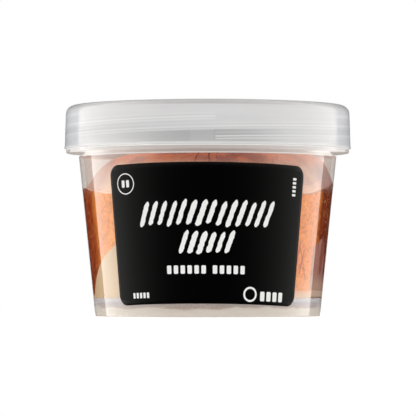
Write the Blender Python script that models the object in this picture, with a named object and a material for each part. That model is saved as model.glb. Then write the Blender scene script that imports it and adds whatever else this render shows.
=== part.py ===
# Clear tapered pot of two-tone jelly, with a frosted screw lid and a label round its front.
# Units are metres, +Z is up, and the origin is the middle of the foot ring on the table.
from math import cos, pi, radians, sin

import bmesh
import bpy
from mathutils import Vector

# Clearances and fineness
GAP = 0.0003
TURN_STEPS = 64
JELLY_STEPS = 44

# Pot body
TOTAL_HEIGHT = 0.05425
FOOT_RADIUS = 0.02875
BODY_TAPER = 0.103
WALL = 0.0011
CORNER_Z = 0.0411
FLOOR_TOP = 0.00465
FLOOR_FILLET = 0.0015

# Pot shoulder, flange and neck
SHOULDER_RADIUS = 0.0325
FLANGE_RADIUS = 0.0365
FLANGE_UNDERSIDE = 0.0420
FLANGE_TOP = 0.04305
NECK_RADIUS = 0.0346
NECK_BORE = 0.0334
RIM_TOP = 0.0527
EDGE = 0.0002

# Lid
LID_BOTTOM = 0.04335
LID_RADIUS_LOW = 0.0370
LID_RADIUS_HIGH = 0.0366
LID_ROUND = 0.00225
LID_PANEL = 0.0012
LID_BORE_LOW = 0.0358
LID_BORE_HIGH = 0.0356

# Two-start screw thread, right-handed
THREAD_STARTS = 2
THREAD_LEAD = 0.0050
THREAD_FIRST_ANGLE = radians(-87)
THREAD_FIRST_Z = 0.0448
THREAD_DEPTH = 0.00072
THREAD_ROOT_HALF = 0.00062
THREAD_CREST_HALF = 0.00025
THREAD_SUNK = 0.0004
LID_THREAD_DROP = 0.00105

# Label
LABEL_HALF_ANGLE = radians(48)
LABEL_LOW = 0.0034
LABEL_HIGH = 0.0387
LABEL_SAG = 0.0008
LABEL_CORNER = 0.0028
LABEL_THICKNESS = 0.0003

# Jelly
DOME_TOP = 0.0424
CONTACT_MEAN = 0.0318
CONTACT_FRONT_DIP = 0.0013
CONTACT_SIDE_RISE = 0.0020
SQUARENESS_MEAN = 15.5
SQUARENESS_RIGHT = 10.0
CREAM_THIN = 0.0008
CREAM_PEAK = 0.0146
CREAM_REACH = 0.0252
CREAM_CENTRE = (-0.012, -0.024)
CREAM_RIGHT = 0.0020
INTERFACE_RINGS = (0.2, 0.4, 0.6, 0.75, 0.87, 0.95)
CROWN_RINGS = (0.3, 0.6, 0.75, 0.84, 0.91, 0.955, 0.985)


def material(name, colour, roughness, alpha=1.0):
    mat = bpy.data.materials.new(name)
    mat.use_nodes = True
    shader = mat.node_tree.nodes["Principled BSDF"]
    shader.inputs["Base Color"].default_value = (*colour, 1.0)
    shader.inputs["Roughness"].default_value = roughness
    shader.inputs["Metallic"].default_value = 0.0
    shader.inputs["Alpha"].default_value = alpha
    return mat


def finish(name, bm, mat, smooth_angle=radians(35)):
    bmesh.ops.remove_doubles(bm, verts=bm.verts, dist=1e-6)
    bmesh.ops.recalc_face_normals(bm, faces=bm.faces)
    mesh = bpy.data.meshes.new(name)
    bm.to_mesh(mesh)
    bm.free()
    mesh.materials.append(mat)
    mesh.shade_smooth()
    mesh.set_sharp_from_angle(angle=smooth_angle)
    obj = bpy.data.objects.new(name, mesh)
    bpy.context.scene.collection.objects.link(obj)
    return obj


def lathe(profile):
    """Turns an open chain of (radius, z) points, with both ends on the axis, into a closed shell."""
    bm = bmesh.new()
    chain = [bm.verts.new((r, 0.0, z)) for r, z in profile]
    edges = [bm.edges.new(pair) for pair in zip(chain, chain[1:])]
    bmesh.ops.spin(
        bm, geom=chain + edges, axis=(0, 0, 1), cent=(0, 0, 0),
        angle=2 * pi, steps=TURN_STEPS, use_merge=True,
    )
    return bm


def corner_arc(centre_r, centre_z, radius, start, end, steps):
    """Points of an arc in the profile plane, with angles counted from +X."""
    return [
        (
            centre_r + radius * cos(start + (end - start) * i / steps),
            centre_z + radius * sin(start + (end - start) * i / steps),
        )
        for i in range(steps + 1)
    ]


def body_radius(z):
    return FOOT_RADIUS + BODY_TAPER * z


def inner_radius(z):
    return body_radius(z) - WALL


def fillet_centre():
    """Radius and height of the centre of the arc between the floor and the inner wall."""
    z = FLOOR_TOP + FLOOR_FILLET
    return inner_radius(z) - FLOOR_FILLET, z


def cavity_radius(z):
    """Radius that a filling may reach at a height: the inner wall and floor arc less the gap."""
    centre_r, centre_z = fillet_centre()
    below = centre_z - z
    if below <= 0.0:
        return inner_radius(z) - GAP
    reach = FLOOR_FILLET - GAP
    return centre_r + max(0.0, reach**2 - below**2) ** 0.5


def pot_profile():
    floor_under = FLOOR_TOP - WALL
    fillet_r, fillet_z = fillet_centre()
    outside = [
        (0.0, floor_under),
        (inner_radius(floor_under), floor_under),
        (inner_radius(0.0) + EDGE, 0.0),
        (FOOT_RADIUS - EDGE, 0.0),
        (body_radius(EDGE), EDGE),
        (body_radius(CORNER_Z), CORNER_Z),
        (SHOULDER_RADIUS, FLANGE_UNDERSIDE),
        (FLANGE_RADIUS - EDGE, FLANGE_UNDERSIDE),
        (FLANGE_RADIUS, FLANGE_UNDERSIDE + EDGE),
        (FLANGE_RADIUS, FLANGE_TOP - EDGE),
        (FLANGE_RADIUS - EDGE, FLANGE_TOP),
        (NECK_RADIUS, FLANGE_TOP),
    ]
    rim_r = (NECK_RADIUS - NECK_BORE) / 2
    rim = corner_arc(NECK_RADIUS - rim_r, RIM_TOP - rim_r, rim_r, 0.0, pi, 4)
    inside = [
        (NECK_BORE, FLANGE_TOP + EDGE),
        (inner_radius(FLANGE_UNDERSIDE), FLANGE_UNDERSIDE),
    ]
    fillet = corner_arc(fillet_r, fillet_z, FLOOR_FILLET, 0.0, -pi / 2, 3)
    return outside + rim + inside + fillet + [(0.0, FLOOR_TOP)]


def lid_profile():
    panel_under = TOTAL_HEIGHT - LID_PANEL
    round_r = LID_RADIUS_HIGH - LID_ROUND
    inner_round = LID_ROUND - LID_PANEL
    outer_edge = corner_arc(round_r, TOTAL_HEIGHT - LID_ROUND, LID_ROUND, 0.0, pi / 2, 5)
    inner_r = LID_BORE_HIGH - inner_round
    inner_edge = corner_arc(inner_r, panel_under - inner_round, inner_round, pi / 2, 0.0, 2)
    skirt = [
        (LID_BORE_LOW, LID_BOTTOM + EDGE),
        (LID_BORE_LOW + EDGE, LID_BOTTOM),
        (LID_RADIUS_LOW - EDGE, LID_BOTTOM),
        (LID_RADIUS_LOW, LID_BOTTOM + EDGE),
    ]
    return [(0.0, panel_under)] + inner_edge + skirt + outer_edge + [(0.0, TOTAL_HEIGHT)]


def thread_ridge(bm, first_angle, first_z, first_share, root_at, outward):
    """One start of the thread: a trapezium swept up its helix, thinning to nothing at both ends.

    root_at gives the root cylinder's radius at a height, and outward is +1 on a neck, -1 in a bore.
    """
    steps = 26
    lead_in = 3
    rings = []
    for i in range(steps + 1):
        turn = first_share + (1.0 - first_share) * i / steps
        angle = first_angle + 2 * pi * turn
        z = first_z + THREAD_LEAD * turn
        grown = min(1.0, 0.15 + i / lead_in, 0.15 + (steps - i) / lead_in)
        root = root_at(z) - outward * THREAD_SUNK
        crest = root_at(z) + outward * THREAD_DEPTH * grown
        section = [
            (root, -THREAD_ROOT_HALF * grown),
            (crest, -THREAD_CREST_HALF * grown),
            (crest, THREAD_CREST_HALF * grown),
            (root, THREAD_ROOT_HALF * grown),
        ]
        rings.append([bm.verts.new((r * cos(angle), r * sin(angle), z + dz)) for r, dz in section])
    for ring, after in zip(rings, rings[1:]):
        for k in range(4):
            bm.faces.new((ring[k], ring[(k + 1) % 4], after[(k + 1) % 4], after[k]))
    bm.faces.new(rings[0][::-1])
    bm.faces.new(rings[-1])


def thread_cutter(name, mat, drop, first_share, root_at, outward):
    bm = bmesh.new()
    for start in range(THREAD_STARTS):
        angle = THREAD_FIRST_ANGLE + 2 * pi * start / THREAD_STARTS
        thread_ridge(bm, angle, THREAD_FIRST_Z - drop, first_share, root_at, outward)
    ridges = finish(name, bm, mat)
    ridges.hide_render = True
    ridges.display_type = "WIRE"
    return ridges


def join_thread(obj, ridges):
    union = obj.modifiers.new("thread", "BOOLEAN")
    union.operation = "UNION"
    union.object = ridges
    union.solver = "EXACT"


def pot(mat):
    obj = finish("pot", lathe(pot_profile()), mat)
    join_thread(obj, thread_cutter("pot_thread", mat, 0.0, 0.0, lambda z: NECK_RADIUS, 1))


def lid_bore(z):
    share = (z - LID_BOTTOM) / (TOTAL_HEIGHT - LID_BOTTOM)
    return LID_BORE_LOW + (LID_BORE_HIGH - LID_BORE_LOW) * share


def lid(mat):
    obj = finish("lid", lathe(lid_profile()), mat)
    join_thread(obj, thread_cutter("lid_thread", mat, LID_THREAD_DROP, 0.25, lid_bore, -1))


def label(mat):
    """A panel with round corners, its sides along the pot's generators, bent round the cone."""
    bm = bmesh.new()
    corner_angle = LABEL_CORNER / body_radius((LABEL_LOW + LABEL_HIGH) / 2)
    corner_steps = 5
    flat_steps = 18
    flat_half = LABEL_HALF_ANGLE - corner_angle
    ends = [
        (flat_half + corner_angle * sin(pi / 2 * i / corner_steps), 1 - cos(pi / 2 * i / corner_steps))
        for i in range(1, corner_steps + 1)
    ]
    flats = [(-flat_half + 2 * flat_half * i / flat_steps, 0.0) for i in range(flat_steps + 1)]
    stations = [(-a, rise) for a, rise in reversed(ends)] + flats + ends

    def point(angle, z, offset):
        r = body_radius(z) + offset
        return Vector((r * sin(angle), -r * cos(angle), z))

    columns = []
    for angle, rise in stations:
        sag = LABEL_SAG * (angle / LABEL_HALF_ANGLE) ** 2
        low = LABEL_LOW + LABEL_CORNER * rise
        high = LABEL_HIGH - LABEL_CORNER * rise - sag
        offsets = (GAP, GAP + LABEL_THICKNESS)
        corners = [(low, offsets[0]), (low, offsets[1]), (high, offsets[1]), (high, offsets[0])]
        columns.append([bm.verts.new(point(angle, z, offset)) for z, offset in corners])
    for column, after in zip(columns, columns[1:]):
        for k in range(4):
            bm.faces.new((column[k], column[(k + 1) % 4], after[(k + 1) % 4], after[k]))
    bm.faces.new(columns[0][::-1])
    bm.faces.new(columns[-1])
    finish("label", bm, mat)


def cream_top(x, y):
    """Height of the pale layer's upper side: a mound by the left of the front wall, thin elsewhere."""
    away = (Vector((x, y)) - Vector(CREAM_CENTRE)).length / CREAM_REACH
    mound = CREAM_PEAK * max(0.0, 1.0 - away**2.6)
    right = CREAM_RIGHT * max(0.0, min(1.0, x / FOOT_RADIUS + 0.5))
    return FLOOR_TOP + CREAM_THIN + mound + right


def contact_height(angle):
    """Height at which the orange jelly leaves the wall, by the angle from +X."""
    front = -sin(angle) * abs(sin(angle))
    return CONTACT_MEAN - CONTACT_FRONT_DIP * front + CONTACT_SIDE_RISE * cos(angle) ** 8


def dome_top(x, y, angle, edge_radius):
    """Height of the orange jelly's upper side: a flat crown with shoulders, steeper on the right."""
    share = min(1.0, (x * x + y * y) ** 0.5 / edge_radius)
    squareness = SQUARENESS_MEAN + SQUARENESS_RIGHT * cos(angle)
    contact = contact_height(angle)
    return contact + (DOME_TOP - contact) * (1.0 - share**squareness) ** 0.8


def edge_of(surface, angle):
    """Where a surface meets the cavity's side in one direction: its radius and height."""
    r = cavity_radius(FLOOR_TOP + FLOOR_FILLET)
    for _ in range(6):
        r = cavity_radius(surface(r * cos(angle), r * sin(angle), angle, r))
    return r, surface(r * cos(angle), r * sin(angle), angle, r)


def split_quad(bm, a, b, c, d, first_to_third):
    """Two triangles, cut so that facing surfaces share their diagonals and keep their gap."""
    if first_to_third:
        bm.faces.new((a, b, c))
        bm.faces.new((a, c, d))
    else:
        bm.faces.new((a, b, d))
        bm.faces.new((b, c, d))


def fill(name, mat, lower, lower_rings, upper, upper_rings, side_steps):
    """Closed solid between two surfaces, out to the pot's inner wall less the gap."""
    bm = bmesh.new()
    columns = []
    for j in range(JELLY_STEPS):
        angle = 2 * pi * j / JELLY_STEPS
        ca, sa = cos(angle), sin(angle)
        low_r, low_z = edge_of(lower, angle)
        high_r, high_z = edge_of(upper, angle)
        under = [(low_r * share, lower) for share in lower_rings]
        over = [(high_r * share, upper) for share in reversed(upper_rings)]
        heights = [low_z + (high_z - low_z) * i / side_steps for i in range(side_steps + 1)]
        column = [(r * ca, r * sa, surface(r * ca, r * sa, angle, low_r)) for r, surface in under]
        column += [(cavity_radius(z) * ca, cavity_radius(z) * sa, z) for z in heights]
        column += [(r * ca, r * sa, surface(r * ca, r * sa, angle, high_r)) for r, surface in over]
        columns.append([bm.verts.new(p) for p in column])
    foot = bm.verts.new((0.0, 0.0, lower(0.0, 0.0, 0.0, 1.0)))
    peak = bm.verts.new((0.0, 0.0, upper(0.0, 0.0, 0.0, 1.0)))
    for here, after in zip(columns, columns[1:] + columns[:1]):
        bm.faces.new((foot, after[0], here[0]))
        for k in range(len(here) - 1):
            split_quad(bm, here[k], after[k], after[k + 1], here[k + 1], k < len(lower_rings))
        bm.faces.new((here[-1], after[-1], peak))
    finish(name, bm, mat, radians(50))


def floor_film(x, y, angle, edge_radius):
    return FLOOR_TOP + GAP


def cream_upper(x, y, angle, edge_radius):
    return cream_top(x, y)


def orange_lower(x, y, angle, edge_radius):
    return cream_top(x, y) + GAP


def cream_jelly(mat):
    fill("jelly_cream", mat, floor_film, [0.5], cream_upper, INTERFACE_RINGS, 2)


def orange_jelly(mat):
    fill("jelly_orange", mat, orange_lower, INTERFACE_RINGS, dome_top, CROWN_RINGS, 3)


def clear_scene():
    for obj in list(bpy.data.objects):
        bpy.data.objects.remove(obj, do_unlink=True)


def main():
    clear_scene()
    pot(material("clear_plastic", (0.93, 0.90, 0.87), 0.06, 0.35))
    lid(material("frosted_plastic", (0.86, 0.87, 0.87), 0.35, 0.75))
    label(material("black_film", (0.012, 0.012, 0.014), 0.45))
    cream_jelly(material("cream_jelly", (0.83, 0.71, 0.52), 0.30))
    orange_jelly(material("orange_jelly", (0.62, 0.22, 0.06), 0.25))


main()
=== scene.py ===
import random
from functools import reduce
from math import atan2, cos, degrees, exp, hypot, pi, radians, sin

import bmesh
import bpy
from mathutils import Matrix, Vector, noise


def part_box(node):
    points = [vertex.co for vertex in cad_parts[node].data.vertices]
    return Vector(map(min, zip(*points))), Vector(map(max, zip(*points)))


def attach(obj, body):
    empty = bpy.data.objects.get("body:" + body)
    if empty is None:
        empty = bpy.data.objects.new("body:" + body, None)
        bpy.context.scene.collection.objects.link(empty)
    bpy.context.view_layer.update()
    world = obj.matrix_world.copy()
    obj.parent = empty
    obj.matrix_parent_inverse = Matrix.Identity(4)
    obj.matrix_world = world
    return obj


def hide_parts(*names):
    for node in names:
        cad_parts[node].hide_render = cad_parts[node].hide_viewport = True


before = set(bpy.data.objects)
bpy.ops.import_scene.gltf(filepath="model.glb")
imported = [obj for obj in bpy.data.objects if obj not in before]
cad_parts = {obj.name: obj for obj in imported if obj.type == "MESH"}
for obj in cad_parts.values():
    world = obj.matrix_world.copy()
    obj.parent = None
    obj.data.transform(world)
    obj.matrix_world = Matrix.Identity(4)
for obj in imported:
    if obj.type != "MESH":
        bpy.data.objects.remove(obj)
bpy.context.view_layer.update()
print("frame loaded")


# where things are, read off the CAD nodes

def ringRadius(node, height, reach=0.0004):  # widest radius of a node near one height
    points = [v.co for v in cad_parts[node].data.vertices if abs(v.co.z - height) < reach]
    return max(hypot(p.x, p.y) for p in points)


potLow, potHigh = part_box("pot")
lidLow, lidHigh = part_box("lid")
labelLow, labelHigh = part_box("label")
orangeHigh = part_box("jelly_orange")[1]

pot = {
    "taper": 0.103,             # radius gained for each metre of height
    "footRadius": ringRadius("pot", potLow.z) + 0.0002,
    "wall": 0.0011,
    "corner": potLow.z + 0.0411,        # where the body is widest and its shoulder starts
    "floorTop": potLow.z + 0.00465,
    "fillet": 0.0015,
    "shoulderRadius": 0.0325,           # where the shoulder meets the flange's underside
    "flangeRadius": potHigh.x,
    "flangeUnder": potLow.z + 0.0420,
    "flangeTop": potLow.z + 0.04305,
    "neckRadius": 0.0346,
    "neckBore": 0.0334,
    "rim": potHigh.z,
    "edge": 0.00025,            # radius of its rounded edges
    "softCorner": 0.0002,       # of the round where the body is widest
    "underRound": 0.0004,       # and of the one inside the hollow foot
    "steps": 192,
}

thread = {
    "starts": 2,
    "lead": 0.0050,
    "firstAngle": radians(-87),         # from +X, so just right of the label's middle
    "firstHeight": potLow.z + 0.0448,
    "depth": 0.00072,
    "rootHalf": 0.00062,
    "crestHalf": 0.00025,
    "sink": 0.0003,             # the ridge's root starts this far inside the wall
    "fade": 0.035,              # share of a turn in which each end sinks in
    "steps": 120,
}


def bodyRadius(z):
    return pot["footRadius"] + pot["taper"] * (z - potLow.z)


def innerRadius(z):
    return bodyRadius(z) - pot["wall"]


# shader maths

class Wire:  # one output socket; sums and products of wires add Math nodes
    def __init__(self, paint, socket):
        self.paint = paint
        self.socket = socket

    def maths(self, operation, *parts):
        return self.paint.node("ShaderNodeMath", {"operation": operation}, dict(enumerate(parts)))

    def __add__(self, other):
        return self.maths("ADD", self, other)

    def __sub__(self, other):
        return self.maths("SUBTRACT", self, other)

    def __rsub__(self, other):
        return self.maths("SUBTRACT", other, self)

    def __mul__(self, other):
        return self.maths("MULTIPLY", self, other)

    def __truediv__(self, other):
        return self.maths("DIVIDE", self, other)

    def __pow__(self, other):
        return self.maths("POWER", self, other)

    def __abs__(self):
        return self.maths("ABSOLUTE", self)

    def __mod__(self, other):
        return self.maths("FLOORED_MODULO", self, other)

    def least(self, other):
        return self.maths("MINIMUM", self, other)

    def most(self, other):
        return self.maths("MAXIMUM", self, other)

    __radd__ = __add__
    __rmul__ = __mul__


class Paint:  # one material and the nodes it is mixed from
    def __init__(self, name):
        self.material = bpy.data.materials.new(name)
        self.material.use_nodes = True
        self.tree = self.material.node_tree
        self.tree.nodes.clear()
        self.cache = {}

    def node(self, kind, settings=None, values=None, out=0):
        made = self.tree.nodes.new(kind)
        for key, value in (settings or {}).items():
            setattr(made, key, value)
        for key, value in (values or {}).items():
            if isinstance(value, Wire):
                self.tree.links.new(value.socket, made.inputs[key])
            else:
                made.inputs[key].default_value = value
        return Wire(self, made.outputs[out])

    def place(self):  # object coordinates
        if "place" not in self.cache:
            self.cache["place"] = self.node("ShaderNodeTexCoord", out="Object")
        return self.cache["place"]

    def axis(self, letter):
        if "axes" not in self.cache:
            self.cache["axes"] = self.node("ShaderNodeSeparateXYZ", values={0: self.place()})
        made = self.cache["axes"].socket.node
        return Wire(self, made.outputs[letter])

    def round(self):  # angle round the pot in radians, 0 at the front, positive to the right
        if "round" not in self.cache:
            self.cache["round"] = self.axis("X").maths("ARCTAN2", self.axis("X"), self.axis("Y") * -1.0)
        return self.cache["round"]

    def radius(self):  # distance from the pot's axis
        if "radius" not in self.cache:
            flat = self.node("ShaderNodeCombineXYZ", values={"X": self.axis("X"), "Y": self.axis("Y")})
            self.cache["radius"] = self.node(
                "ShaderNodeVectorMath", {"operation": "LENGTH"}, {0: flat}, out="Value",
            )
        return self.cache["radius"]

    def facingOut(self):  # 1 at the front and the back, 0 at the two sides
        return (self.axis("Y") / self.radius()) ** 2.0

    def inward(self):  # how far inside the pot's sloping outer wall
        atZero = pot["footRadius"] - potLow.z * pot["taper"]
        return self.axis("Z") * pot["taper"] + atZero - self.radius()

    def stretched(self, scale):  # coordinates scaled by different amounts along the axes
        return self.node("ShaderNodeMapping", values={"Vector": self.place(), "Scale": scale})

    def noise(self, scale, detail=3.0, roughness=0.55, vector=None, distortion=0.0):
        return self.node("ShaderNodeTexNoise", values={
            "Vector": vector or self.place(), "Scale": scale, "Detail": detail,
            "Roughness": roughness, "Distortion": distortion,
        })

    def cells(self, scale, out=0):  # distance from the nearest cell's middle, or its random colour
        return self.node("ShaderNodeTexVoronoi", values={"Vector": self.place(), "Scale": scale}, out=out)

    def rise(self, value, low, high):  # 0 at low, 1 at high, eased at both ends
        return self.node("ShaderNodeMapRange", {"interpolation_type": "SMOOTHSTEP"}, {
            "Value": value, "From Min": low, "From Max": high, "To Min": 0.0, "To Max": 1.0,
        })

    def fall(self, value, low, high):  # 1 at low, 0 at high
        return 1.0 - self.rise(value, low, high)

    def blend(self, share, first, second):  # colours
        first, second = [c if isinstance(c, Wire) else (*c, 1.0) for c in (first, second)]
        return self.node("ShaderNodeMix", {"data_type": "RGBA"}, {0: share, 6: first, 7: second}, out=2)

    def scaled(self, colour, scale):
        return self.node("ShaderNodeVectorMath", {"operation": "SCALE"}, {0: colour, "Scale": scale})

    def bump(self, height, distance, strength=1.0):
        return self.node("ShaderNodeBump", values={
            "Height": height, "Distance": distance, "Strength": strength,
        })

    def principled(self, **values):
        named = {key.replace("_", " "): value for key, value in values.items()}
        return self.node("ShaderNodeBsdfPrincipled", values=named)

    def mixed(self, share, first, second):
        return self.node("ShaderNodeMixShader", values={0: share, 1: first, 2: second})

    def done(self, surface):
        output = self.tree.nodes.new("ShaderNodeOutputMaterial")
        self.tree.links.new(surface.socket, output.inputs["Surface"])
        return self.material


# mesh helpers

def spun(profile, steps=pot["steps"]):  # turns an outline of (radius, height) points round the pot's axis
    bm = bmesh.new()
    points = [bm.verts.new((r, 0.0, z)) for r, z in profile]
    edges = [bm.edges.new(pair) for pair in zip(points, points[1:])]
    bmesh.ops.spin(
        bm, geom=points + edges, cent=(0, 0, 0), axis=(0, 0, 1), angle=2 * pi,
        steps=steps, use_merge=True,
    )
    bmesh.ops.remove_doubles(bm, verts=bm.verts, dist=1e-7)
    bmesh.ops.recalc_face_normals(bm, faces=bm.faces)
    return bm


def arc(r, z, radius, start, end, steps):  # part of a round in the outline, angles from +X in degrees
    turns = [radians(start + (end - start) * i / steps) for i in range(steps + 1)]
    return [(r + radius * cos(t), z + radius * sin(t)) for t in turns]


def piece(name, bm, material, replaces=(), sharp=40):
    mesh = bpy.data.meshes.new(name)
    bm.to_mesh(mesh)
    bm.free()
    mesh.materials.append(material)
    mesh.shade_smooth()
    mesh.set_sharp_from_angle(angle=radians(sharp))
    made = bpy.data.objects.new(name, mesh)
    bpy.context.scene.collection.objects.link(made)
    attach(made, "root")
    if replaces:
        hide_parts(*replaces)
    return made


def ridge(bm, rootRadius, outward, drop, firstShare):  # the thread's starts, each swept up by a spin
    span = 1.0 - firstShare
    climb = thread["lead"] * span / thread["steps"]
    for start in range(thread["starts"]):
        begin = thread["firstAngle"] + 2 * pi * (start / thread["starts"] + firstShare)
        height = thread["firstHeight"] - drop + thread["lead"] * firstShare
        sunk = rootRadius - outward * thread["sink"]
        crest = rootRadius + outward * thread["depth"]
        section = [
            (sunk, -thread["rootHalf"]), (crest, -thread["crestHalf"]),
            (crest, thread["crestHalf"]), (sunk, thread["rootHalf"]),
        ]
        corners = [bm.verts.new((r * cos(begin), r * sin(begin), height + dz)) for r, dz in section]
        face = bm.faces.new(corners)
        known = set(bm.verts)
        bmesh.ops.spin(
            bm, geom=[face, *face.edges, *corners], cent=(0, 0, 0), axis=(0, 0, 1),
            angle=2 * pi * span, steps=thread["steps"], dvec=(0, 0, climb),
        )
        swept = [v for v in bm.verts if v not in known] + corners
        taperEnds(swept, begin, span, height, sunk)
    bmesh.ops.remove_doubles(bm, verts=bm.verts, dist=1e-7)
    bmesh.ops.recalc_face_normals(bm, faces=bm.faces)


def taperEnds(verts, begin, span, height, sunk):  # the first and last few degrees sink into the wall
    for v in verts:
        turn = ((atan2(v.co.y, v.co.x) - begin) / (2 * pi)) % 1.0
        rise = (v.co.z - height) / thread["lead"]
        turn = min((turn, turn - 1.0, turn + 1.0), key=lambda t: abs(t - rise))
        grown = max(0.02, min(1.0, turn / thread["fade"], (span - turn) / thread["fade"]))
        r = hypot(v.co.x, v.co.y)
        shrunk = sunk + (r - sunk) * grown
        v.co.x *= shrunk / r
        v.co.y *= shrunk / r


# materials

clearLook = {
    "haze": 0.010,              # share of the filled wall that scatters light instead of passing it
    "emptyHaze": 0.25,          # the same above the jelly, at the sides, where it is misted
    "emptyHazeFront": 0.03,
    "flangeHaze": 0.84,
    "flangeSideHaze": 0.12,     # this much more at the flange's two sides
    "footHaze": 0.46,
    "mist": (0.68, 0.60, 0.57),
    "flange": (0.88, 0.84, 0.815),
    # painted shade at the flange's front and back and at its two ends, painted light at its two sides
    "flangeFront": (0.50, 0.44, 0.42),
    "flangeSide": (0.97, 0.94, 0.925),
    "flangeEnd": (0.58, 0.54, 0.51),
    "sideTurn": (radians(46), radians(60)),     # angles from the front where the side takes over
    "endTurn": (radians(73), radians(76)),
    "underLight": (0.11, 0.105, 0.10),  # light from the table under the flange's two sides
    "foot": (0.65, 0.575, 0.57),
    # painted shade: the foot darker and browner at the front and back
    "footFront": (0.50, 0.39, 0.32),
    "footTop": (0.58, 0.57, 0.61),
    "footPale": (0.88, 0.82, 0.74),
    "line": (1.0, 0.99, 0.98),          # painted highlights: the bright lines at the flange's top and the wall's corner
    "tint": (0.965, 0.945, 0.920),
    "mirror": 0.11,             # share mirrored straight on
    "gloss": 0.02,
}


def clearPlastic():
    p = Paint("clearPlastic")
    z = p.axis("Z")
    aside = abs(p.round())
    sides = 1.0 - p.facingOut()
    waves = p.noise(60.0, 2.0, vector=p.stretched((1.0, 1.0, 4.0)))
    wavy = p.noise(85.0, 3.0, vector=p.stretched((1.0, 1.0, 0.3)))
    flow = p.noise(350.0, 2.0, vector=p.stretched((1.0, 1.0, 0.15)))

    foot = p.fall(z, pot["floorTop"] - 0.0002, pot["floorTop"] + 0.0003)
    empty = p.rise(z, crown["contact"] - 0.001, crown["contact"] + 0.003)
    flange = p.rise(z, pot["corner"] - 0.0003, pot["corner"] + 0.0002)
    flangeSide = flange * p.rise(aside, *clearLook["sideTurn"])
    flangeEnd = flange * p.rise(aside, *clearLook["endTurn"])
    under = p.rise(z, pot["corner"] + 0.0004, pot["flangeUnder"] - 0.0001) * flangeSide
    under = under * p.fall(z, pot["flangeUnder"] + 0.0001, pot["flangeUnder"] + 0.0004)
    # painted highlights along the flange's top edge and the wall's corner
    rimHighlight = p.fall(abs(z - (pot["flangeTop"] - 0.00012)), 0.00010, 0.00026)
    cornerHighlight = p.fall(abs(z - (pot["corner"] + 0.00002)), 0.00006, 0.00020)
    bright = rimHighlight.most(cornerHighlight)

    misted = clearLook["emptyHazeFront"] + sides * (clearLook["emptyHaze"] - clearLook["emptyHazeFront"])
    share = clearLook["haze"] + empty * (misted - clearLook["haze"])
    share = share + flange * (clearLook["flangeHaze"] - share) + flangeSide * clearLook["flangeSideHaze"]
    share = share + foot * (clearLook["footHaze"] - clearLook["haze"]) * (0.7 + 0.6 * waves)
    share = share.most(bright * 0.95)

    # painted light towards the flange's two sides, painted shade at its front and back and at its two
    # ends
    colour = p.blend(flange * (0.45 + sides), clearLook["mist"], clearLook["flange"])
    colour = p.blend(flange * (p.facingOut() ** 3.0) * 0.5, colour, clearLook["flangeFront"])
    colour = p.blend(flangeSide * 0.8, colour, clearLook["flangeSide"])
    colour = p.blend(flangeEnd * 0.8, colour, clearLook["flangeEnd"])
    # painted shade on the foot at the front and back
    skirt = p.blend(p.facingOut() ** 2.0, clearLook["foot"], clearLook["footFront"])
    nearFloor = p.rise(z, pot["floorTop"] - 0.0024, pot["floorTop"] - 0.0008)
    skirt = p.blend(nearFloor * 0.8, skirt, clearLook["footTop"])
    pale = p.fall(z - wavy * 0.0034, potLow.z + 0.0002, potLow.z + 0.0009)
    colour = p.blend(foot, colour, p.blend(pale, skirt, clearLook["footPale"]))
    colour = p.blend(bright, colour, clearLook["line"])

    scatter = p.principled(
        Base_Color=colour, Roughness=0.35 + (waves - 0.5) * 0.1, Specular_IOR_Level=0.0,
        Normal=p.bump(flow, 0.00003), Emission_Strength=1.0,
        Emission_Color=p.blend(under * (1.0 - flangeEnd), (0.0, 0.0, 0.0), clearLook["underLight"]),
    )
    passing = p.node("ShaderNodeBsdfTransparent", values={"Color": (*clearLook["tint"], 1.0)})
    body = p.mixed(share, passing, scatter)
    outside = p.fall(p.inward(), 0.0003, 0.0008) * (1.0 - flange * 0.5)
    return p.done(glossed(p, body, clearLook["mirror"], clearLook["gloss"], 4.0, outside))


glancing = 0.65                 # share mirrored along the surface


def glossed(p, body, straight, roughness, power, outside=1.0):  # a mirror film, strong at glancing angles
    facing = p.node("ShaderNodeLayerWeight", values={"Blend": 0.5}, out="Facing")
    inside = p.node("ShaderNodeNewGeometry", out="Backfacing")
    share = (straight + (facing ** power) * (glancing - straight)) * (1.0 - inside) * outside
    film = p.node("ShaderNodeBsdfAnisotropic", values={"Color": (1, 1, 1, 1), "Roughness": roughness})
    return p.mixed(share, body, film)


frostLook = {
    "see": 0.10,                # share that passes straight through
    "glow": 0.24,               # share of the rest that lets light through diffused
    "colour": (0.87, 0.87, 0.875),
    "sides": (0.85, 0.865, 0.90),       # a touch bluer at the far left and right
    "sideTurn": (radians(60), radians(66)),
    "shadeBelowThread": 0.68,         # painted shade: how much darker it is below the middle thread, where the neck lies behind
    "corner": 0.66,             # and painted shade round the thick top edge
    "cornerHeight": (lidHigh.z - 0.0015, lidHigh.z - 0.0010),
    "cornerRadius": (0.0335, 0.0350),
    "paleStretchStart": (-0.125, -0.115),      # a paler stretch in the painted shade at the front, in radians
    "paleStretchEnd": (0.035, 0.045),
    "line": 1.20,               # tone of the painted highlights: the bright lines along the threads and the bottom bead
    "lines": (                  # painted highlight lines: how far under a thread's middle, half width and strength of each
        (-0.0001, 0.00016, 1.0),
        (0.00055, 0.00020, 0.65),
        (-0.0010, 0.00020, 0.30),
    ),
    "bands": (                  # wider painted highlight bands, at the two sides only
        (-0.0001, 0.00042, 1.0),
        (-0.0026, 0.00042, 0.8),
    ),
    "mirror": 0.048,
    "gloss": 0.10,
}


def threadHeights(p):  # both starts at each angle round the lid, and whichever is the middle one
    turn = (p.round() - radians(90) - thread["firstAngle"]) / (2 * pi)
    shares = (turn % 1.0, (turn + 0.5) % 1.0, (turn + 0.25) % 0.5 + 0.25)
    return [share * thread["lead"] + thread["firstHeight"] for share in shares]


def threadLine(p, drop, half, strength):
    z = p.axis("Z")
    first, second = threadHeights(p)[:2]
    away = abs(z + drop - first).least(abs(z + drop - second))
    return p.fall(away, half * 0.4, half * 1.6) * strength


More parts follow.
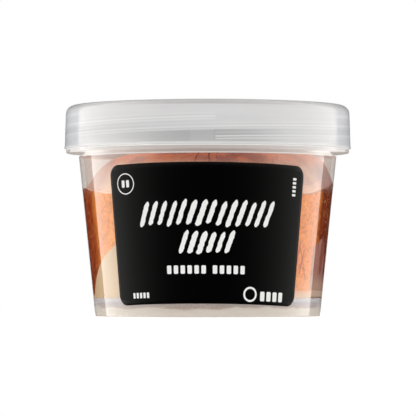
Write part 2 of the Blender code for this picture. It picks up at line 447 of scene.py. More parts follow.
def frostedPlastic():
    p = Paint("frostedPlastic")
    z = p.axis("Z")
    aside = abs(p.round())
    front = p.facingOut()
    grain = p.noise(900.0, 3.0)
    streaks = p.noise(70.0, 3.0, vector=p.stretched((1.0, 1.0, 22.0)))
    clouds = p.noise(45.0, 3.0, vector=p.stretched((1.0, 1.0, 4.0)))

    side = p.rise(p.radius(), lidHigh.x - 0.0024, lidHigh.x - 0.0014)
    below = p.fall(z - threadHeights(p)[2], -0.0006, -0.0002)
    paleStretch = p.rise(p.round(), *frostLook["paleStretchStart"]) * p.fall(p.round(), *frostLook["paleStretchEnd"])
    # painted shade below the middle thread, strongest at the front and back, fainter in the paler stretch
    # and on the right
    dark = below * (0.04 + 0.96 * front ** 4.0) * (1.0 - paleStretch * 0.22)
    dark = dark * (1.0 - p.rise(p.round(), 0.25, 0.75) * 0.85)
    # painted shade round the thick top edge, strongest at the front and back
    corner = p.rise(z, *frostLook["cornerHeight"]) * p.rise(p.radius(), *frostLook["cornerRadius"])
    corner = corner * (0.4 + 0.6 * front ** 2.0)
    lip = p.fall(z, lidLow.z + 0.0002, lidLow.z + 0.0005)
    strip = p.rise(aside, *frostLook["sideTurn"]) * side
    lines = reduce(Wire.most, [threadLine(p, *line) for line in frostLook["lines"]])
    bands = reduce(Wire.most, [threadLine(p, *band) for band in frostLook["bands"]])

    tone = 1.0 - dark * side * (1.0 - frostLook["shadeBelowThread"]) - corner * (1.0 - frostLook["corner"])
    tone = tone + (streaks - 0.5) * 0.12 * side + (clouds - 0.5) * 0.05
    # painted light: less painted shade below the thread towards the sides
    tone = tone + below * p.rise(aside, 0.35, 0.80) * side * 0.06
    # painted shade at the far sides, with painted highlights in the wider bands
    tone = tone + strip * (bands * 0.18 - 0.10)
    # painted highlights along the threads and on the bottom bead
    lit = (lines * side * (0.95 - strip * 0.6)).most(lip * 0.7)
    tone = tone + lit * (frostLook["line"] - tone)
    colour = p.scaled(p.blend(strip, frostLook["colour"], frostLook["sides"]), tone)

    milk = p.principled(
        Base_Color=colour, Roughness=p.rise(grain, 0.0, 1.0) * 0.15 + 0.3, Specular_IOR_Level=0.2,
        Normal=p.bump(grain, 0.00002),
    )
    glow = p.node("ShaderNodeBsdfTranslucent", values={"Color": (*frostLook["colour"], 1.0)})
    body = p.mixed(frostLook["glow"], milk, glow)
    passing = p.node("ShaderNodeBsdfTransparent", values={"Color": (0.97, 0.97, 0.97, 1.0)})
    body = p.mixed(1.0 - frostLook["see"], passing, body)
    return p.done(glossed(p, body, frostLook["mirror"], frostLook["gloss"], 6.0))


filmLook = {
    "black": (0.0006, 0.0006, 0.0008),
    "dust": (0.05, 0.05, 0.055),
    "roughness": 0.45,
    "specular": 0.23,
    "white": (0.93, 0.93, 0.91),
    "worn": 0.93,
}


def blackFilm():
    p = Paint("blackFilm")
    grain = p.noise(1800.0, 2.0)
    dust = p.rise(p.cells(900.0), 0.02, 0.0)
    return p.done(p.principled(
        Base_Color=p.blend(dust * 0.08, filmLook["black"], filmLook["dust"]),
        Roughness=filmLook["roughness"] + (grain - 0.5) * 0.12,
        Specular_IOR_Level=filmLook["specular"], Normal=p.bump(grain, 0.000006),
    ))


def whiteInk():
    p = Paint("whiteInk")
    grain = p.noise(2500.0, 3.0)
    worn = tuple(filmLook["worn"] * c for c in filmLook["white"])
    return p.done(p.principled(
        Base_Color=p.blend(grain, filmLook["white"], worn), Roughness=0.5, Normal=p.bump(grain, 0.00001),
    ))


orangeLook = {
    "light": (0.98, 0.390, 0.092),
    "deep": (0.85, 0.260, 0.046),
    "left": (0.31, 0.036, 0.004),       # painted shade, deeper on the left and the right, its edge swirled
    "leftTurn": (radians(59), radians(70)),
    "right": (0.18, 0.022, 0.003),
    "rightTurn": (radians(60), radians(68)),
    "rightHalf": (0.86, 0.240, 0.036),
    "rim": (0.15, 0.018, 0.004),        # and the darkest painted shade, right at the two sides
    "rimTurn": (radians(72), radians(84)),
    "back": (0.66, 0.190, 0.030),
    "backDeep": (0.45, 0.105, 0.016),
    "backTurn": (radians(98), radians(114)),
    # the painted highlight on the mica flakes
    "glint": (1.0, 0.55, 0.22),
    "fleck": (0.52, 0.09, 0.045),
    "mica": 900.0,
    "flakes": 1500.0,
    "blush": (0.90, 0.44, 0.24),        # where it thins out over the cream, low on the right
    # painted shade along creases in the jelly
    "crease": (0.46, 0.07, 0.06),
    "creases": (                        # each from an angle and height to another
        ((0.865, potLow.z + 0.0178), (0.985, potLow.z + 0.0092)),
        ((0.870, potLow.z + 0.0190), (0.835, potLow.z + 0.0128)),
        ((0.930, potLow.z + 0.0172), (0.880, potLow.z + 0.0105)),
    ),
}

pocket = {                      # a greyer, clearer pocket low on the right
    "turn": radians(72),
    "peak": potLow.z + 0.0199,
    "slope": 0.012,             # its top edge falls this much for each radian from the peak
    "leftEnd": (0.175, 0.215),          # radians to the left of the peak
    "rightEnd": (-0.08, -0.04),         # and to the right, where it also widens downwards
    "widening": 10.0,
    "colour": (0.42, 0.200, 0.170),
    "dark": (0.26, 0.090, 0.070),
    "low": (0.50, 0.34, 0.27),
}

openLook = {                    # the crown, which stands clear of the wall
    "clearHeight": (potLow.z + 0.028, potLow.z + 0.030),        # it can start above this
    "topHeight": (potLow.z + 0.0372, potLow.z + 0.0402),        # from its flank to its open top
    "top": (1.0, 0.31, 0.12),
    "patch": (0.48, 0.185, 0.155),
    "pale": (1.0, 0.78, 0.62),          # its flank on the left, milky with condensed water
    "dusky": (0.92, 0.59, 0.445),       # and on the right
    "mauve": (0.60, 0.36, 0.36),
    "plum": (0.42, 0.19, 0.19),         # painted shade on the flank's far right
    "plumTurn": (radians(62), radians(68)),
    "red": (0.52, 0.14, 0.12),          # and on its far left
    "redTurn": (radians(56), radians(66)),
    "meniscus": (0.46, 0.13, 0.06),
    "light": (0.10, 0.065, 0.045),      # what reaches the flank through the jelly
    "lightLeft": (0.24, 0.140, 0.095),
    "lightTop": (0.12, 0.035, 0.025),   # and the top's two sides
    # painted shade along folds in the top
    "fold": (0.20, 0.055, 0.040),
    "folds": (
        ((-0.135, potLow.z + 0.0375), (-0.090, potLow.z + 0.0415)),
        ((0.026, potLow.z + 0.0375), (0.004, potLow.z + 0.0418)),
    ),
}


def creased(p, crease, wander):  # a thin line of painted shade across the wall, from one angle and height to another
    (startTurn, startZ), (endTurn, endZ) = crease
    along = (p.axis("Z") - startZ) / (endZ - startZ)
    across = p.round() - startTurn - along * (endTurn - startTurn) + (wander - 0.5) * 0.06
    return p.fall(abs(across), 0.003, 0.012) * p.rise(along, 0.0, 0.05) * p.fall(along, 0.95, 1.0)


def shaded(p, broad, fine):  # broad swirls, painted shade deeper round the sides, and browner at the back
    turn = p.round()
    swirls = p.rise(broad * 0.55 + fine * 0.45, 0.36, 0.62)
    colour = p.blend(swirls, orangeLook["deep"], orangeLook["light"])
    # painted shade towards the left and right sides, also low on the left
    left = p.rise(turn * -1.0 + (broad - 0.5) * 0.2, *orangeLook["leftTurn"])
    right = p.rise(turn + (broad - 0.5) * 0.2, *orangeLook["rightTurn"])
    colour = p.blend(p.rise(turn, 0.0, 0.6) * 0.6, colour, orangeLook["rightHalf"])
    colour = p.blend(left * (0.98 - p.rise(fine, 0.42, 0.66) * 0.26), colour, orangeLook["left"])
    colour = p.blend(right * (0.98 - p.rise(fine, 0.48, 0.66) * 0.26), colour, orangeLook["right"])
    rim = p.rise(abs(turn) + (broad - 0.5) * 0.1, *orangeLook["rimTurn"])
    rim = rim.most(left * p.fall(p.axis("Z"), potLow.z + 0.008, potLow.z + 0.024) * 0.6)
    colour = p.blend(rim * 0.7, colour, orangeLook["rim"])
    mottle = p.rise(broad * 0.5 + fine * 0.5, 0.40, 0.60)
    behind = p.blend(mottle, orangeLook["backDeep"], orangeLook["back"])
    return p.blend(p.rise(abs(turn) + (broad - 0.5) * 0.5, *orangeLook["backTurn"]), colour, behind)


def flaked(p, colour, fine):  # mica: a grain in the colour, dark flecks and bright glints; the glints are mica flakes with a painted highlight in their colour
    grain = p.noise(1200.0, 2.0, 0.7)
    flake = p.cells(orangeLook["flakes"], out="Color")      # used as a random grey in each cell
    colour = p.scaled(colour, 1.0 + (grain - 0.5) * 0.75 + (fine - 0.5) * 0.2 + (flake - 0.5) * 0.42)
    glints = p.rise(p.cells(orangeLook["mica"]), 0.30, 0.14) * p.rise(flake, 0.45, 0.60)
    flecks = p.rise(p.cells(orangeLook["mica"] * 0.8), 0.26, 0.12)
    colour = p.blend(flecks * 0.4, colour, orangeLook["fleck"])
    return p.blend(glints * 0.4, colour, orangeLook["glint"]), glints


def pocketed(p, colour, broad, fine):
    z = p.axis("Z")
    off = pocket["turn"] - p.round()
    roof = z + abs(off) * pocket["slope"] + (broad - 0.5) * 0.003
    inside = p.fall(roof, pocket["peak"] - 0.0006, pocket["peak"] + 0.0004)
    inside = inside * p.rise(off + (pocket["peak"] - z) * pocket["widening"], *pocket["rightEnd"])
    inside = inside * p.fall(off, *pocket["leftEnd"])
    streak = p.noise(420.0, 3.0, vector=p.stretched((1.0, 1.0, 0.25)))
    paling = p.fall(z + (fine - 0.5) * 0.003, potLow.z + 0.0075, potLow.z + 0.0125)
    tint = p.blend(p.rise(streak, 0.42, 0.60), pocket["dark"], pocket["colour"])
    tint = p.blend(paling * 0.9, tint, pocket["low"])
    return p.blend(inside * 0.92, colour, tint)


def swirled(p):  # the jelly as it shows through the wall
    z = p.axis("Z")
    broad = p.noise(95.0, 5.0, 0.6, vector=p.stretched((1.0, 1.0, 0.6)), distortion=0.8)
    fine = p.noise(480.0, 4.0, 0.65, vector=p.stretched((1.0, 1.0, 0.55)))
    colour = shaded(p, broad, fine)
    veins = abs(p.noise(120.0, 2.0, vector=p.stretched((1.0, 1.0, 0.35))) - 0.5)
    low = p.fall(z, potLow.z + 0.012, potLow.z + 0.022)
    colour = p.blend(p.fall(veins, 0.0, 0.012) * low * 0.4, colour, orangeLook["fleck"])
    colour, glints = flaked(p, colour, fine)
    thin = p.fall(z, potLow.z + 0.0078, potLow.z + 0.0112) * p.rise(p.round(), 0.3, 0.8)
    colour = p.blend(thin * (0.15 + 0.5 * fine), colour, orangeLook["blush"])
    colour = pocketed(p, colour, broad, fine)
    # painted shade along the creases
    for crease in orangeLook["creases"]:
        colour = p.blend(creased(p, crease, broad) * 0.7, colour, orangeLook["crease"])
    return colour, glints


def crownFlank(p):
    x, y, z = (p.axis(letter) for letter in "XYZ")
    turn = p.round()
    rightwards = p.rise(turn, -0.3, 0.9)
    slant = p.node("ShaderNodeCombineXYZ", values={     # for streaks that run down to the right
        "X": x * 0.75 + z * 0.66, "Y": y * 0.5, "Z": (z * 0.75 - x * 0.66) * 0.3,
    })
    wisps = p.rise(p.noise(230.0, 3.0, vector=slant), 0.52, 0.64)
    flank = p.blend(rightwards, openLook["pale"], openLook["dusky"])
    flank = p.blend(wisps * (0.15 + 0.4 * rightwards), flank, openLook["mauve"])
    # painted shade at the flank's far right and far left
    flank = p.blend(p.rise(turn, *openLook["plumTurn"]) * 0.9, flank, openLook["plum"])
    return p.blend(p.rise(turn * -1.0, *openLook["redTurn"]) * 0.5, flank, openLook["red"])


def crownTop(p, patches):
    turn = p.round()
    top = p.blend(p.rise(patches, 0.48, 0.58) * 0.85, openLook["top"], openLook["patch"])
    cracks = abs(p.noise(75.0, 2.0, vector=p.stretched((1.0, 0.35, 1.0)), distortion=0.5) - 0.47)
    top = p.blend(p.fall(cracks, 0.0, 0.012) * 0.8, top, orangeLook["fleck"])
    # painted shade: the top darker at the front and back
    top = p.blend((p.facingOut() ** 3.0) * 0.45, top, openLook["patch"])
    top = p.blend(p.rise(turn, 0.40, 0.75) * 0.55, top, openLook["dusky"])
    top = p.blend(p.rise(turn * -1.0, 0.40, 0.75) * 0.30, top, openLook["pale"])
    # painted shade along the folds
    for fold in openLook["folds"]:
        top = p.blend(creased(p, fold, patches) * 0.75, top, openLook["fold"])
    return top


def lightThrough(p):  # what shines through the crown: more on the left, and at the top's two sides
    turn = p.round()
    left = p.rise(turn * -1.0, 0.1, 0.7) * (1.0 - p.rise(turn * -1.0, *openLook["redTurn"]) * 0.6)
    flank = p.blend(left, openLook["light"], openLook["lightLeft"])
    top = p.blend(p.rise(abs(turn), 0.35, 0.70), (0.0, 0.0, 0.0), openLook["lightTop"])
    return p.blend(p.rise(p.axis("Z"), *openLook["topHeight"]), flank, top)


def orangeJelly():
    p = Paint("orangeJelly")
    z = p.axis("Z")
    fine = p.noise(700.0, 3.0)
    body, glints = swirled(p)
    patches = p.noise(110.0, 3.0, vector=p.stretched((1.0, 1.6, 1.0)))
    topped = p.rise(z + (patches - 0.5) * 0.003, *openLook["topHeight"])
    standing = p.blend(topped, crownFlank(p), crownTop(p, patches))
    high = p.rise(z, *openLook["clearHeight"])
    free = p.rise(p.inward(), 0.00016, 0.00034) * high
    meniscus = p.rise(p.inward(), 0.00012, 0.00018) * p.fall(p.inward(), 0.00026, 0.00040) * high
    colour = p.blend(meniscus * 0.5, p.blend(free, body, standing), openLook["meniscus"])
    return p.done(p.principled(
        Base_Color=colour, Roughness=0.42 - glints * 0.15, Metallic=glints * 0.1,
        Specular_IOR_Level=0.0, Coat_Weight=free * 0.12, Coat_Roughness=0.12,
        Normal=p.bump(fine, 0.00005, 0.7), Emission_Strength=1.0,
        Emission_Color=p.blend(free, (0.0, 0.0, 0.0), lightThrough(p)),
    ))


creamLook = {
    "light": (0.78, 0.615, 0.43),
    "deep": (0.71, 0.515, 0.32),
    "blush": (0.84, 0.60, 0.44),        # where it thins out under the orange, on the right
    "dusk": (0.55, 0.42, 0.35),         # and painted shade, greyer at the right side
    "duskTurn": (radians(61), radians(65)),
    # painted shadow in the floor corner on the right
    "floorCornerShade": (0.22, 0.12, 0.10),
}


def creamJelly():
    p = Paint("creamJelly")
    z = p.axis("Z")
    swirl = p.noise(80.0, 4.0, vector=p.stretched((1.0, 1.0, 0.5)))
    fine = p.noise(900.0, 3.0)
    colour = p.blend(p.rise(swirl, 0.35, 0.7), creamLook["light"], creamLook["deep"])
    colour = p.blend(p.rise(p.axis("X"), 0.004, 0.016) * 0.8, colour, creamLook["blush"])
    ripe = p.rise(z + (fine - 0.5) * 0.001, potLow.z + 0.0054, potLow.z + 0.0068)
    colour = p.blend(ripe * p.rise(p.round(), 0.3, 0.8) * 0.8, colour, orangeLook["blush"])
    # painted shade at the right side
    shade = p.rise(p.round(), *creamLook["duskTurn"])
    colour = p.blend(shade * 0.85, colour, creamLook["dusk"])
    # painted shadow along the floor corner, on the right side
    floorCornerShade = p.fall(z, pot["floorTop"] + 0.0002, pot["floorTop"] + 0.0006)
    colour = p.blend(shade * floorCornerShade * 0.8, colour, creamLook["floorCornerShade"])
    return p.done(p.principled(
        Base_Color=colour, Roughness=0.35 + (fine - 0.5) * 0.1, Specular_IOR_Level=0.0,
        Normal=p.bump(fine, 0.00004, 0.6),
    ))


# the pot and its lid

def buildPot(material):
    low, corner, under, top = potLow.z, pot["corner"], pot["flangeUnder"], pot["flangeTop"]
    edge, soft, hollow = pot["edge"], pot["softCorner"], pot["underRound"]
    floorUnder = pot["floorTop"] - pot["wall"]
    filletZ = pot["floorTop"] + pot["fillet"]
    filletR = innerRadius(filletZ) - pot["fillet"]
    rimHalf = (pot["neckRadius"] - pot["neckBore"]) / 2

    # up the outside, from under the floor to the rim; extra rings keep the faces even
    outline = [(r, floorUnder) for r in (0.0, 0.006, 0.012, 0.020)]
    outline += arc(innerRadius(floorUnder) - hollow, floorUnder - hollow, hollow, 90, 0, 4)
    outline += arc(pot["footRadius"] - pot["wall"] + edge, low + edge, edge, 180, 270, 4)
    outline += arc(pot["footRadius"] - edge, low + edge, edge, 270, 354, 6)
    outline += [(bodyRadius(low + z), low + z) for z in (0.002, 0.006, 0.012, 0.020, 0.030)]
    outline += arc(bodyRadius(corner) - soft, corner - soft / 2, soft, 0, 60, 4)
    outline += [(pot["shoulderRadius"], under - soft / 2), (pot["shoulderRadius"] + soft / 2, under)]
    outline += arc(pot["flangeRadius"] - edge, under + edge, edge, -90, 0, 5)
    outline += arc(pot["flangeRadius"] - edge, top - edge, edge, 0, 90, 5)
    outline += [(pot["neckRadius"] + 0.0003, top), (pot["neckRadius"], top + 0.0003)]
    outline += arc(pot["neckRadius"] - rimHalf, pot["rim"] - rimHalf, rimHalf, 0, 180, 10)

    # and down the inside to the middle of the floor
    outline += [(pot["neckBore"], top + edge), (pot["neckBore"] - 0.0004, top - 0.0004)]
    outline += [(innerRadius(under) + 0.0002, under + 0.0003)]
    outline += [(innerRadius(under - 0.0005), under - 0.0005)]
    outline += arc(filletR, filletZ, pot["fillet"], 0, -90, 8)
    outline += [(r, pot["floorTop"]) for r in (0.018, 0.008, 0.0)]
    made = piece("potBody", spun(outline), material, ["pot"], sharp=60)
    made.visible_shadow = False     # so that light reaches the jelly through the clear wall
    bm = bmesh.new()
    ridge(bm, pot["neckRadius"], 1, 0.0, 0.0)
    piece("neckThread", bm, material, ["pot"])
    print("pot made")


lid = {
    "round": 0.00225,           # radius of the top edge
    "panel": 0.0012,
    "highRadius": 0.0366,       # its side draws in to this at the top edge
    "boreLow": 0.0358,
    "boreHigh": 0.0356,
    "lipHalf": 0.0003,          # half the thickness of the bead round the bottom edge
    "gap": 0.00004,             # between the bead and the flange
    "threadDrop": 0.00105,      # how far its thread lies under the neck's
    "threadFrom": 0.25,         # share of a turn before its thread starts
}


def buildLid(material):
    high = lidHigh.z
    low = pot["flangeTop"] + lid["gap"]
    under = high - lid["panel"]
    innerRound = lid["round"] - lid["panel"]
    half = lid["lipHalf"]
    outline = [(r, under) for r in (0.0, 0.010, 0.020, 0.029)]
    outline += arc(lid["boreHigh"] - innerRound, under - innerRound, innerRound, 90, 0, 5)
    outline += [(lid["boreLow"], low + 2 * half)]
    outline += arc(lid["boreLow"] + half, low + half, half, 180, 270, 3)
    outline += arc(lidHigh.x - half, low + half, half, 270, 400, 8)
    outline += [(lidHigh.x - 0.00016, low + 0.0009), (lid["highRadius"] + 0.0001, low + 0.0060)]
    outline += arc(lid["highRadius"] - lid["round"], high - lid["round"], lid["round"], 0, 90, 12)
    outline += [(r, high) for r in (0.0330, 0.025, 0.015, 0.0)]
    made = piece("lidShell", spun(outline), material, ["lid"], sharp=60)
    made.visible_shadow = False     # so that daylight reaches the jelly under it
    bm = bmesh.new()
    ridge(bm, lid["boreLow"] - 0.0001, -1, lid["threadDrop"], lid["threadFrom"])
    piece("lidThread", bm, material, ["lid"])
    print("lid made")


# the jelly

cream = {
    "thin": 0.0008,             # its depth away from the mound
    "peak": 0.0146,             # the mound's height, how far it spreads and where its middle is
    "reach": 0.0252,
    "centre": (-0.012, -0.024),
    "right": 0.0012,            # and this much deeper on the right
}

crown = {
    "top": orangeHigh.z,
    "contact": potLow.z + 0.0313,       # where the jelly leaves the wall, at the front
    "sideRise": 0.0023,
    "rightDip": 0.0010,
    "squareLeft": 8.0,          # the higher, the squarer its shoulder
    "squareRight": 19.0,
    "drop": 1.3,                # how the shoulders fall
    "insetLeft": 0.975,         # the shoulder meets the wall this far in on the left
    "folds": 0.0005,            # height of the folds in its top
    "steps": 200,
}
sinkIntoWall = pot["wall"] - 0.00012    # the jelly lies this far into the wall, just under its outside


def creamHeight(x, y):
    away = (Vector((x, y)) - Vector(cream["centre"])).length / cream["reach"]
    mound = cream["peak"] * max(0.0, 1.0 - away ** 2.6)
    right = cream["right"] * max(0.0, min(1.0, x / pot["footRadius"] + 0.5))
    ripple = 0.0003 * noise.noise(Vector((x, y, 0.0)) * 160)
    return pot["floorTop"] + cream["thin"] + mound + right + ripple


def contactHeight(side):  # side is the angle from the front, positive to the right
    lift = crown["sideRise"] * abs(sin(side)) ** 10 + 0.0005 * sin(side) ** 3
    dip = crown["rightDip"] * exp(-((degrees(side) - 50) / 15) ** 2)
    return crown["contact"] + lift - dip + 0.00012 * sin(9 * side) + 0.0001 * sin(23 * side + 1)


def crownHeight(x, y, side, edge):
    right = (sin(side) + 1) / 2
    inset = crown["insetLeft"] + (1 - crown["insetLeft"]) * right
    share = min(1.0, hypot(x, y) / (edge * inset))
    square = crown["squareLeft"] + (crown["squareRight"] - crown["squareLeft"]) * right ** 1.3
    rise = (1.0 - share ** square) ** crown["drop"]
    folds = crown["folds"] * noise.fractal(Vector((x * 90, y * 90, 4.0)), 0.8, 2.0, 4) * rise
    contact = contactHeight(side)
    return contact + (crown["top"] - crown["folds"] - contact) * rise + folds


def jellyBlank(under, side, over):  # a unit drum: its rings say where the warp puts them
    outline = [(i / under, 0.0) for i in range(under)]
    outline += [(1.0, i / side) for i in range(side + 1)]
    outline += [(cos(pi / 2 * i / over) ** 0.7, 1.0) for i in range(1, over + 1)]
    outline[-1] = (0.0, 1.0)
    return spun(outline, crown["steps"])


def warped(bm, lower, upper):  # drum to jelly: lower and upper give heights, and the wall gives the sides
    for v in bm.verts:
        share = min(1.0, hypot(v.co.x, v.co.y))
        side = atan2(v.co.x, -v.co.y)
        level = v.co.z
        reach = innerRadius(pot["floorTop"] + pot["fillet"])
        for _ in range(5):
            low = lower(reach * sin(side), -reach * cos(side), side, reach)
            high = upper(reach * sin(side), -reach * cos(side), side, reach)
            reach = innerRadius(low + (high - low) * level) + sinkIntoWall
        r = reach * share
        x, y = r * sin(side), -r * cos(side)
        if share > 0.99999:
            z = low + (high - low) * level
        else:
            z = lower(x, y, side, reach) if level < 0.5 else upper(x, y, side, reach)
        v.co = Vector((x, y, z))
    bmesh.ops.recalc_face_normals(bm, faces=bm.faces)
    return bm


def buildJelly(orangeMaterial, creamMaterial):
    def floorFilm(x, y, side, edge):
        return pot["floorTop"] + 0.00001

    def creamTop(x, y, side, edge):
        return creamHeight(x, y)

    def creamSeat(x, y, side, edge):
        return creamHeight(x, y) + 0.00002

    bm = warped(jellyBlank(3, 14, 24), floorFilm, creamTop)
    piece("creamJelly", bm, creamMaterial, ["jelly_cream"], sharp=55)
    bm = warped(jellyBlank(20, 26, 44), creamSeat, crownHeight)
    piece("orangeJelly", bm, orangeMaterial, ["jelly_orange"], sharp=55)
    print("jelly made")


# the label and its print

label = {
    "halfAngle": radians(48),
    "middle": radians(-0.4),
    "low": labelLow.z,
    "high": labelHigh.z,
    "sag": 0.0008,              # the top and bottom edges drop this much towards the sides
    "lean": -0.005,             # the whole label is stuck on a touch clockwise
    "corner": 0.0028,
    "thickness": 0.00009,
    "columns": 72,              # it is cut into strips so that it can bend round the wall
    "rows": 24,
}


def labelMiddle():
    return (label["low"] + label["high"]) / 2


def labelHalfWidth():
    return label["halfAngle"] * bodyRadius(labelMiddle())


def wrapped(bm, stand):  # flat (across, up) to the cone; across is metres at the label's mid height
    middleRadius = bodyRadius(labelMiddle())
    for v in bm.verts:
        side = v.co.x / middleRadius + label["middle"]
        z = v.co.y - label["sag"] * (v.co.x / labelHalfWidth()) ** 2 + label["lean"] * v.co.x
        r = bodyRadius(z) + stand + v.co.z
        v.co = Vector((r * sin(side), -r * cos(side), z))


def sliced(bm, count, direction, half, middle):  # cuts a flat piece into even strips
    for i in range(1, count):
        cut = direction * (half * (2 * i / count - 1)) + middle
        bmesh.ops.bisect_plane(
            bm, geom=bm.verts[:] + bm.edges[:] + bm.faces[:], plane_co=cut, plane_no=direction,
        )


def buildLabel(material):
    halfHeight = (label["high"] - label["low"]) / 2
    bm = bmesh.new()
    bmesh.ops.create_grid(bm, x_segments=1, y_segments=1, size=1.0)
    for v in bm.verts:
        v.co.x *= labelHalfWidth()
        v.co.y = label["low"] if v.co.y < 0 else label["high"]
    bmesh.ops.bevel(
        bm, geom=bm.verts[:], affect="VERTICES", offset=label["corner"], segments=10,
        profile=0.5, material=-1,
    )
    sliced(bm, label["columns"], Vector((1, 0, 0)), labelHalfWidth(), Vector((0, 0, 0)))
    sliced(bm, label["rows"], Vector((0, 1, 0)), halfHeight, Vector((0, labelMiddle(), 0)))
    wrapped(bm, 0.00001)
    made = piece("labelFilm", bm, material, ["label"])
    thick = made.modifiers.new("film", "SOLIDIFY")
    thick.thickness = label["thickness"]
    thick.offset = 1.0
    print("label made")


marks = {
    "stand": 0.00012,           # the ink's height over the wall
    "lean": 0.34,
    "seed": 7,
    "titleRows": (              # slanted brush marks: middle's height, half width, count and length
        {"up": 0.0261, "half": 0.0160, "count": 14, "length": 0.0068},
        {"up": 0.0187, "half": 0.0058, "count": 6, "length": 0.0058},
    ),
    "subtitle": (               # rows of blocks: where, count, then each one's width, height and gap
        (-0.0053, 0.0119, 6, 0.00115, 0.0021, 0.00065),
        (0.0057, 0.0119, 5, 0.00115, 0.0021, 0.00065),
    ),
    "small": (
        (-0.0212, 0.0338, 2, 0.0009, 0.0018, 0.0005),
        (0.0231, 0.0333, 5, 0.0006, 0.0011, 0.0004, True),      # this one runs upwards
        (-0.0184, 0.0057, 5, 0.0007, 0.0014, 0.0004),
        (0.0180, 0.0055, 4, 0.0013, 0.0024, 0.0006),
    ),
    "hoops": {                  # where, radius and thickness
        "printRing": (-0.0212, 0.0338, 0.00265, 0.00026),
        "printDisc": (0.0116, 0.0059, 0.0019, 0.00050),
    },
}


def dab(bm, across, up, length, width, shaper):  # one slanted brush mark with soft, uneven ends
    steps = 14
    made = bmesh.ops.create_grid(bm, x_segments=2, y_segments=steps, size=0.5)["verts"]
    for v in made:
        along = v.co.y + 0.5
        full = min(1.0, 0.30 + along / 0.10, 0.25 + (1.0 - along) / 0.14)
        edge = 1.0 + 0.30 * noise.noise(Vector((along * 7, v.co.x * 4, shaper)))
        y = (along - 0.5) * length
        v.co = Vector((across + v.co.x * width * full * edge + marks["lean"] * y, up + y, 0.0))


def block(bm, across, up, width, height):  # a small upright mark with rounded corners
    made = bmesh.ops.create_grid(bm, x_segments=1, y_segments=1, size=0.5)["verts"]
    for v in made:
        v.co = Vector((across + v.co.x * width, up + v.co.y * height, 0.0))
    bmesh.ops.bevel(
        bm, geom=made, affect="VERTICES", offset=min(width, height) * 0.22, segments=3,
        profile=0.5, material=-1,
    )


def blockRow(bm, across, up, count, width, height, gap, upright=False):
    for i in range(count):
        place = (i - (count - 1) / 2) * (width + gap)
        if upright:
            block(bm, across, up + place, height, width)
        else:
            block(bm, across + place, up, width, height)


def hoop(bm, across, up, radius, line):  # a thin ring
    bmesh.ops.create_circle(bm, cap_ends=False, segments=64, radius=radius)
    rim = [e for e in bm.edges if not e.link_faces]
    wider = bmesh.ops.extrude_edge_only(bm, edges=rim)["geom"]
    fresh = [g for g in wider if isinstance(g, bmesh.types.BMVert)]
    bmesh.ops.scale(bm, verts=fresh, vec=Vector((1 - line / radius,) * 3))
    bmesh.ops.translate(bm, verts=bm.verts, vec=(across, up, 0.0))


def inked(name, bm, material):
    bmesh.ops.remove_doubles(bm, verts=bm.verts, dist=1e-8)
    bmesh.ops.recalc_face_normals(bm, faces=bm.faces)
    for face in bm.faces:
        if face.normal.z < 0:
            face.normal_flip()
    wrapped(bm, marks["stand"])
    return piece(name, bm, material)


def buildTitle(material):
    random.seed(marks["seed"])
    bm = bmesh.new()
    for row in marks["titleRows"]:
        for i in range(row["count"]):
            across = row["half"] * (2 * i / (row["count"] - 1) - 1)
            length = row["length"] * random.uniform(0.86, 1.04)
            up = row["up"] + random.uniform(-0.0003, 0.0003)
            width = random.uniform(0.0011, 0.0014)
            dab(bm, across, up, length, width, i * 3.1)
    inked("printTitle", bm, material)


def buildPrint(material):
    buildTitle(material)
    bm = bmesh.new()
    for row in marks["subtitle"]:
        blockRow(bm, *row)
    inked("printSubtitle", bm, material)
    for name, place in marks["hoops"].items():
        bm = bmesh.new()
        hoop(bm, *place)
        inked(name, bm, material)
    bm = bmesh.new()
    for row in marks["small"]:
        blockRow(bm, *row)
    inked("printSmall", bm, material)
    print("print made")


# camera, floor and light

camera = {
    "distance": 0.871,
    "height": potLow.z + 0.0084,
    "aim": potLow.z + 0.0279,
    "side": 0.00009,
    "lens": 292.0,
}


def setCamera():
    data = bpy.data.cameras.new("camera")
    data.lens = camera["lens"]
    data.sensor_width = 36.0
    made = bpy.data.objects.new("camera", data)
    made.location = (camera["side"], -camera["distance"], camera["height"])
    look = Vector((camera["side"], 0.0, camera["aim"])) - made.location
    made.rotation_euler = look.to_track_quat("-Z", "Y").to_euler()
    bpy.context.scene.collection.objects.link(made)
    bpy.context.scene.camera = made


floor = {"radius": 0.10, "white": 0.9, "glow": 0.45}

panels = {
    "away": 0.45,
    "front": -0.56,             # reaches this far towards the camera
    "back": 0.315,
    "low": -0.45,
    "high": 1.1,
    "bright": {"panelLeft": 2.35, "panelRight": 2.05},
    "colour": (1.0, 0.985, 0.955),
}


def buildStage():
    p = Paint("floorWhite")
    speck = p.noise(300.0, 2.0)
    white = (floor["white"],) * 3
    material = p.done(p.principled(
        Base_Color=p.blend(speck, white, tuple(0.99 * c for c in white)), Roughness=0.8,
        Specular_IOR_Level=0.0, Emission_Color=(1, 1, 1, 1), Emission_Strength=floor["glow"],
    ))
    bm = bmesh.new()
    bmesh.ops.create_circle(bm, cap_ends=True, segments=96, radius=floor["radius"])
    bmesh.ops.translate(bm, verts=bm.verts, vec=(0, 0, potLow.z - 0.00002))
    made = staged("floor", bm, material)
    made.visible_glossy = False
    for name, side in (("panelLeft", -1), ("panelRight", 1)):
        bm = bmesh.new()
        bmesh.ops.create_grid(bm, x_segments=1, y_segments=1, size=0.5)
        for v in bm.verts:
            y = panels["back"] if v.co.x > 0 else panels["front"]
            z = panels["high"] if v.co.y > 0 else panels["low"]
            v.co = Vector((side * panels["away"], y, z))
        made = staged(name, bm, panelGlow(name))
        made.visible_camera = False


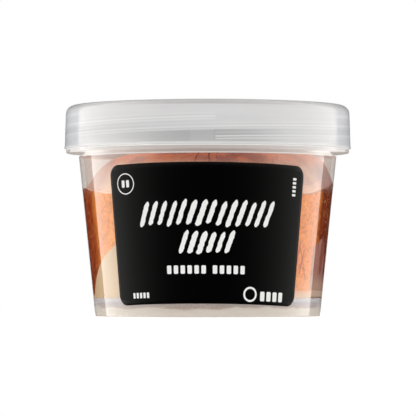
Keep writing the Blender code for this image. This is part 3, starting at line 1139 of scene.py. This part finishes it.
def panelGlow(name):
    p = Paint(name + "Glow")
    along = (p.axis("Y") - panels["front"]) / (panels["back"] - panels["front"])
    level = p.rise(along, 0.0, 0.6) * 0.25 + p.rise(along, 0.5, 1.0) * 0.75
    return p.done(p.principled(
        Base_Color=(0, 0, 0, 1), Specular_IOR_Level=0.0,
        Emission_Color=p.blend(level, (0, 0, 0), panels["colour"]),
        Emission_Strength=panels["bright"][name],
    ))


def staged(name, bm, material):
    mesh = bpy.data.meshes.new(name)
    bm.to_mesh(mesh)
    bm.free()
    mesh.materials.append(material)
    made = bpy.data.objects.new(name, mesh)
    bpy.context.scene.collection.objects.link(made)
    return made


lights = {
    "top": 0.35,                # watts
    "topSize": 0.5,
    "topPlace": (0.0, 0.1, 0.8),
    "fill": 1.07,               # what the room gives to matt surfaces
    "mirrored": 0.02,           # and what shows in gloss
}


def grey(level):
    return (level, level, level, 1.0)


def setLights():
    data = bpy.data.lights.new("topSoft", "AREA")
    data.shape = "SQUARE"
    data.size = lights["topSize"]
    data.energy = lights["top"]
    made = bpy.data.objects.new("topSoft", data)
    made.location = lights["topPlace"]
    bpy.context.scene.collection.objects.link(made)

    world = bpy.data.worlds.new("studio")
    world.use_nodes = True
    nodes, links = world.node_tree.nodes, world.node_tree.links
    ray = nodes.new("ShaderNodeLightPath")
    shown = nodes["Background"].outputs[0]
    nodes["Background"].inputs["Color"].default_value = grey(lights["fill"])
    for rays, level in (("Is Glossy Ray", lights["mirrored"]), ("Is Camera Ray", 1.0)):
        other = nodes.new("ShaderNodeBackground")
        other.inputs["Color"].default_value = grey(level)
        mix = nodes.new("ShaderNodeMixShader")
        links.new(ray.outputs[rays], mix.inputs[0])
        links.new(shown, mix.inputs[1])
        links.new(other.outputs[0], mix.inputs[2])
        shown = mix.outputs[0]
    links.new(shown, nodes["World Output"].inputs["Surface"])
    scene = bpy.context.scene
    scene.world = world
    scene.view_settings.view_transform = "Standard"
    scene.cycles.transparent_max_bounces = 32
    print("stage set")


setCamera()
buildPot(clearPlastic())
buildLid(frostedPlastic())
buildJelly(orangeJelly(), creamJelly())
buildLabel(blackFilm())
buildPrint(whiteInk())
buildStage()
setLights()
